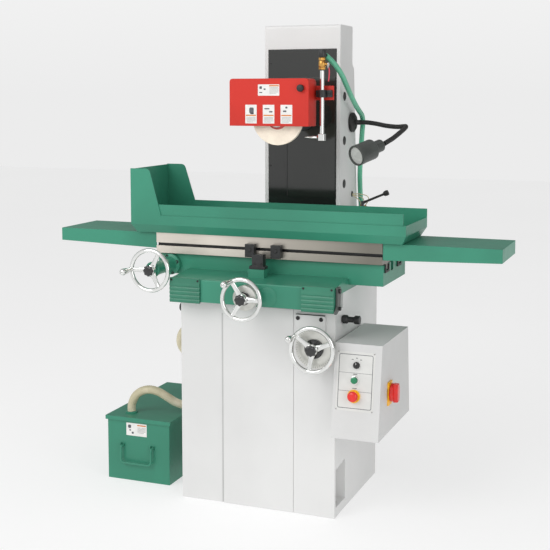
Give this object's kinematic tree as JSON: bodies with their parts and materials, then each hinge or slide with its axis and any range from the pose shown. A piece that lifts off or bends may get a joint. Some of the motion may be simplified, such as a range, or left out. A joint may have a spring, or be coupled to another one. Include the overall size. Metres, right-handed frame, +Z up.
{
  "type": "surface grinder",
  "caption": "Manual surface grinder: cast base, column with a sliding spindle head, crossing saddle and long table in a splash tray, handwheels, cabinet, lamp and coolant tank.",
  "frame": {"origin": "middle of the machine's footprint on the floor, halfway between the end covers and halfway between the front handwheel grip and the rear of the motor", "axes": "+X along the table to the operator's right, +Y from the operator towards the column, +Z up"},
  "size_m": [1.546, 0.9926, 1.593],
  "materials": {
    "white_paint": "satin enamel over cast iron",
    "green_paint": "semi-gloss enamel",
    "grey_paint": "fine textured powder coat",
    "red_paint": "gloss enamel",
    "black_paint": "semi-gloss black",
    "cast_grey": "dark grey paint over casting",
    "ground_steel": "surface-ground steel",
    "machined_steel": "turned steel",
    "chrome_plate": "polished chrome plate",
    "brass_metal": "machined brass",
    "black_plastic": "moulded plastic",
    "green_plastic": "moulded plastic",
    "red_plastic": "moulded plastic",
    "abrasive": "vitrified aluminium oxide",
    "hose_green": "smooth hose",
    "hose_cream": "ribbed hose"
  },
  "bodies": {
    "root": {"base_casting": "white_paint", "lifting_bar": "black_paint", "feed_plate": "white_paint", "column_casting": "white_paint", "column_front_panel": "black_paint", "cabinet_shell": "grey_paint", "coolant_tank": "green_paint", "tank_lid": "green_paint", "coolant_pump": "black_paint", "lube_pump": "cast_grey", "lamp_base": "black_paint", "coolant_hose": "hose_green", "drain_hose": "hose_cream"},
    "saddle": {"saddle_casting": "green_paint", "left_way_flap": "green_paint", "right_way_flap": "green_paint", "stop_block": "black_paint", "long_feed_bracket": "green_paint"},
    "table": {"worktable": "ground_steel", "splash_tray": "green_paint", "left_end_cover": "green_paint", "right_end_cover": "green_paint", "table_rack": "machined_steel"},
    "left_dog": {"left_trip_dog": "black_paint"},
    "right_dog": {"right_trip_dog": "black_paint"},
    "long_feed": {"long_feed_handwheel": "chrome_plate", "long_feed_shaft": "machined_steel"},
    "long_handle": {"long_feed_handle": "chrome_plate"},
    "pinion": {"pinion_shaft": "machined_steel"},
    "cross_feed": {"cross_feed_handwheel": "chrome_plate", "cross_feed_screw": "machined_steel"},
    "cross_handle": {"cross_feed_handle": "chrome_plate"},
    "down_feed": {"down_feed_handwheel": "chrome_plate", "down_feed_shaft": "machined_steel"},
    "down_handle": {"down_feed_handle": "chrome_plate"},
    "elevation": {"elevating_screw": "machined_steel"},
    "head": {"spindle_head": "cast_grey", "spindle_motor": "cast_grey", "head_slide_plate": "black_paint", "wheel_guard": "red_paint", "pipe_clamp": "black_paint", "coolant_pipe": "chrome_plate", "coolant_valve": "brass_metal"},
    "spindle": {"spindle_shaft": "machined_steel", "grinding_wheel": "abrasive", "wheel_flange": "machined_steel"},
    "guard_door": {"guard_door": "red_paint"},
    "nozzle": {"coolant_nozzle": "chrome_plate"},
    "valve_lever": {"valve_lever": "red_paint"},
    "cabinet_door": {"cabinet_door": "grey_paint"},
    "selector": {"selector_switch": "black_plastic"},
    "start": {"start_button": "green_plastic"},
    "emergency_stop": {"emergency_stop_button": "red_plastic"},
    "isolator": {"isolator_handle": "red_plastic"},
    "tank_handle": {"tank_handle": "green_paint"},
    "lube_lever": {"lube_lever": "cast_grey"},
    "lamp_arm": {"lamp_arm": "black_paint"},
    "lamp_head": {"lamp_head": "black_plastic"},
    "lamp_switch": {"lamp_switch": "red_plastic"},
    "saddle_lock": {"saddle_lock_lever": "black_paint"}
  },
  "joints": [
    {"name": "saddle_slide", "type": "slide", "parent": "root", "child": "saddle", "axis": [0, 1, 0], "range_m": [-0.12, 0.06], "deforming": ["drain_hose"]},
    {"name": "table_slide", "type": "slide", "parent": "saddle", "child": "table", "axis": [1, 0, 0], "range_m": [-0.235, 0.235]},
    {"name": "left_dog_slide", "type": "slide", "parent": "table", "child": "left_dog", "axis": [1, 0, 0], "range_m": [-0.3, 0]},
    {"name": "right_dog_slide", "type": "slide", "parent": "table", "child": "right_dog", "axis": [1, 0, 0], "range_m": [0, 0.3]},
    {"name": "long_feed_turn", "type": "hinge", "parent": "saddle", "child": "long_feed", "pos_m": [-0.348, -0.305, 0.778], "axis": [0, 1, 0], "range_deg": [-1123, 1123]},
    {"name": "long_handle_spin", "type": "hinge", "parent": "long_feed", "child": "long_handle", "pos_m": [-0.4144, -0.305, 0.778], "axis": [0, 1, 0], "continuous": true},
    {"name": "pinion_turn", "type": "hinge", "parent": "saddle", "child": "pinion", "pos_m": [0, -0.305, 0.777], "axis": [0, 1, 0], "range_deg": [-1123, 1123]},
    {"name": "cross_feed_turn", "type": "hinge", "parent": "saddle", "child": "cross_feed", "pos_m": [0, -0.305, 0.714], "axis": [0, 1, 0], "range_deg": [-8641, 4321]},
    {"name": "cross_handle_spin", "type": "hinge", "parent": "cross_feed", "child": "cross_handle", "pos_m": [-0.032, -0.305, 0.76943], "axis": [0, 1, 0], "continuous": true},
    {"name": "down_feed_turn", "type": "hinge", "parent": "root", "child": "down_feed", "pos_m": [0.218, -0.305, 0.562], "axis": [0, 1, 0], "range_deg": [-63362, 20162]},
    {"name": "down_handle_spin", "type": "hinge", "parent": "down_feed", "child": "down_handle", "pos_m": [0.16348, -0.305, 0.60429], "axis": [0, 1, 0], "continuous": true},
    {"name": "elevating_screw_turn", "type": "hinge", "parent": "root", "child": "elevation", "pos_m": [0.065, 0.217, 1], "axis": [0, 0, 1], "range_deg": [-15841, 5041]},
    {"name": "head_slide", "type": "slide", "parent": "root", "child": "head", "axis": [0, 0, 1], "range_m": [-0.22, 0.07], "deforming": ["coolant_hose"]},
    {"name": "spindle_spin", "type": "hinge", "parent": "head", "child": "spindle", "pos_m": [0, -0.108, 1.272], "axis": [0, 1, 0], "continuous": true},
    {"name": "guard_door_hinge", "type": "hinge", "parent": "head", "child": "guard_door", "pos_m": [-0.162, -0.145, 1.325], "axis": [0, 0, 1], "range_deg": [-110, 0]},
    {"name": "nozzle_swivel", "type": "hinge", "parent": "head", "child": "nozzle", "pos_m": [0.149, -0.09, 1.21], "axis": [0, 0, 1], "range_deg": [-60, 40]},
    {"name": "valve_turn", "type": "hinge", "parent": "head", "child": "valve_lever", "pos_m": [0.17, -0.09, 1.45], "axis": [1, 0, 0], "range_deg": [-90, 0]},
    {"name": "cabinet_door_hinge", "type": "hinge", "parent": "root", "child": "cabinet_door", "pos_m": [0.434, -0.3248, 0.435], "axis": [0, 0.1381, 0.9904], "range_deg": [0, 110]},
    {"name": "selector_turn", "type": "hinge", "parent": "cabinet_door", "child": "selector", "pos_m": [0.351, -0.339, 0.517], "axis": [0, -0.9904, 0.1381], "range_deg": [-45, 45]},
    {"name": "start_push", "type": "slide", "parent": "cabinet_door", "child": "start", "axis": [0, -0.9904, 0.1381], "range_m": [-0.004, 0], "stiffness_N_per_m": 400, "springref_m": 0.003},
    {"name": "emergency_stop_push", "type": "slide", "parent": "cabinet_door", "child": "emergency_stop", "axis": [0, -0.9904, 0.1381], "range_m": [-0.005, 0]},
    {"name": "isolator_turn", "type": "hinge", "parent": "root", "child": "isolator", "pos_m": [0.44, -0.248, 0.417], "axis": [1, 0, 0], "range_deg": [0, 90]},
    {"name": "tank_handle_swing", "type": "hinge", "parent": "root", "child": "tank_handle", "pos_m": [-0.4815, -0.229, 0.126], "axis": [1, 0, 0], "range_deg": [-90, 0]},
    {"name": "lube_lever_pump", "type": "hinge", "parent": "root", "child": "lube_lever", "pos_m": [0.186, 0.267, 0.962], "axis": [0, 1, 0], "range_deg": [-25, 15]},
    {"name": "lamp_arm_tilt", "type": "hinge", "parent": "root", "child": "lamp_arm", "pos_m": [0.16, 0.255, 1.252], "axis": [1, 0, 0], "range_deg": [-60, 40]},
    {"name": "lamp_head_tilt", "type": "hinge", "parent": "lamp_arm", "child": "lamp_head", "pos_m": [0.322, 0.053, 1.186], "axis": [-0.8595, 0.5111, 0], "range_deg": [-25, 25]},
    {"name": "lamp_switch_rock", "type": "hinge", "parent": "lamp_head", "child": "lamp_switch", "pos_m": [0.315, 0.0148, 1.1913], "axis": [-0.7347, 0.2233, 0.6406], "range_deg": [-6, 6]},
    {"name": "saddle_lock_turn", "type": "hinge", "parent": "saddle", "child": "saddle_lock", "pos_m": [0.29, -0.329, 0.744], "axis": [1, 0, 0], "range_deg": [-70, 0]}
  ],
  "couplings": [
    {"joint": "long_feed_turn", "follows": "table_slide", "rad_per_m": 83.333},
    {"joint": "pinion_turn", "follows": "table_slide", "rad_per_m": 83.333},
    {"joint": "cross_feed_turn", "follows": "saddle_slide", "rad_per_m": 1256.6},
    {"joint": "down_feed_turn", "follows": "head_slide", "rad_per_m": 5026.5},
    {"joint": "elevating_screw_turn", "follows": "head_slide", "rad_per_m": 1256.6}
  ]
}
